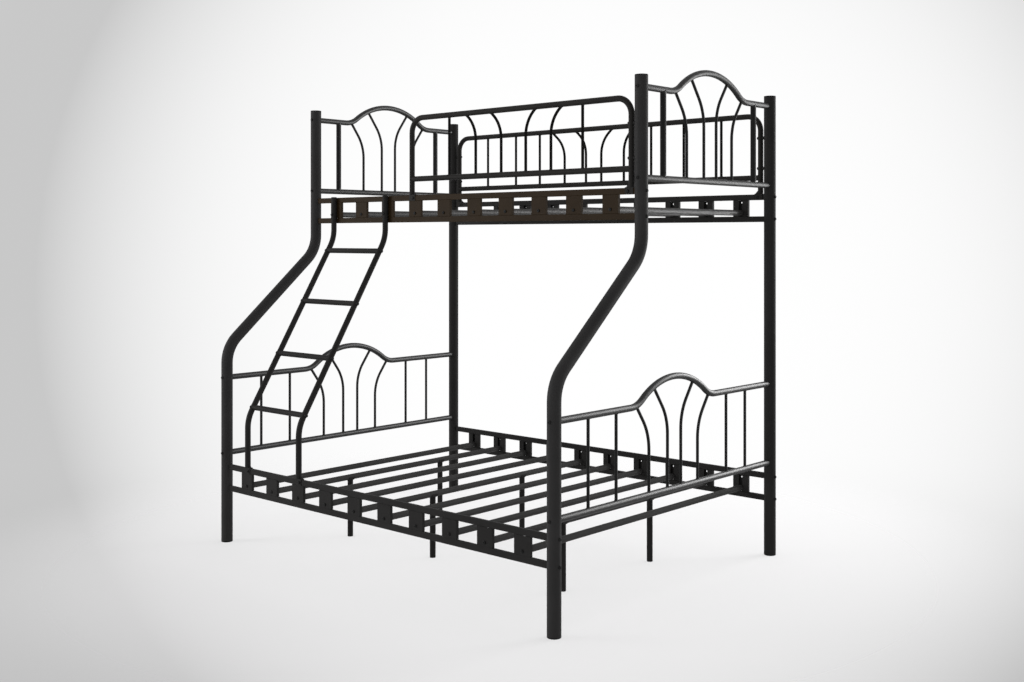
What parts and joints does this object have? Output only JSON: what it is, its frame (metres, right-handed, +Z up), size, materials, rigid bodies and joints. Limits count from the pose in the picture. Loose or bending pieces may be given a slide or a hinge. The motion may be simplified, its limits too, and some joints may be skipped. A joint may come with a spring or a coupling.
{
  "type": "bunk bed",
  "caption": "Steel tube bunk bed: a narrow bed over a wide one, with S-bent front posts, arched end panels, guard rails and a sloping ladder.",
  "frame": {"origin": "on the floor, midway between the four feet, which is the middle of the bounding box's underside", "axes": "+X along the beds, with the ladder at the -X end; +Y from the ladder side to the back; +Z up"},
  "size_m": [1.9998, 1.5098, 2.0527],
  "materials": {
    "powder_coat": "semi-gloss black powder coat",
    "fastener": "black coated steel",
    "stopper": "black plastic",
    "steel_plug": "plain steel",
    "nylon_plug": "black nylon"
  },
  "bodies": {
    "root": {"front_guard_rail": "powder_coat", "front_post_left": "powder_coat", "front_post_right": "powder_coat", "guard_bolts": "fastener", "guard_spacers": "powder_coat", "ladder_bolts": "fastener", "ladder_rung_1": "powder_coat", "ladder_rung_2": "powder_coat", "ladder_rung_3": "powder_coat", "ladder_rung_4": "powder_coat", "ladder_stile_caps": "stopper", "ladder_stile_left": "powder_coat", "ladder_stile_right": "powder_coat", "lower_end_panel_left": "powder_coat", "lower_end_panel_right": "powder_coat", "lower_front_rail": "powder_coat", "lower_rear_rail": "powder_coat", "lower_slat_01": "powder_coat", "lower_slat_02": "powder_coat", "lower_slat_03": "powder_coat", "lower_slat_04": "powder_coat", "lower_slat_05": "powder_coat", "lower_slat_06": "powder_coat", "lower_slat_07": "powder_coat", "lower_slat_08": "powder_coat", "lower_slat_09": "powder_coat", "lower_slat_10": "powder_coat", "panel_end_plugs": "steel_plug", "post_bolts": "fastener", "post_feet": "stopper", "post_top_caps": "stopper", "rail_end_plugs": "steel_plug", "rear_guard_rail": "powder_coat", "rear_post_left": "powder_coat", "rear_post_right": "powder_coat", "rung_bolts": "fastener", "saddle_bolts": "fastener", "slat_bolts": "fastener", "slat_end_plugs": "nylon_plug", "support_leg_feet": "stopper", "support_leg_front_1": "powder_coat", "support_leg_front_2": "powder_coat", "support_leg_front_3": "powder_coat", "support_leg_rear_1": "powder_coat", "support_leg_rear_2": "powder_coat", "support_leg_rear_3": "powder_coat", "upper_end_panel_left": "powder_coat", "upper_end_panel_right": "powder_coat", "upper_front_rail": "powder_coat", "upper_rear_rail": "powder_coat", "upper_slat_01": "powder_coat", "upper_slat_02": "powder_coat", "upper_slat_03": "powder_coat", "upper_slat_04": "powder_coat", "upper_slat_05": "powder_coat", "upper_slat_06": "powder_coat", "upper_slat_07": "powder_coat", "upper_slat_08": "powder_coat", "upper_slat_09": "powder_coat", "upper_slat_10": "powder_coat"}
  },
  "joints": []
}
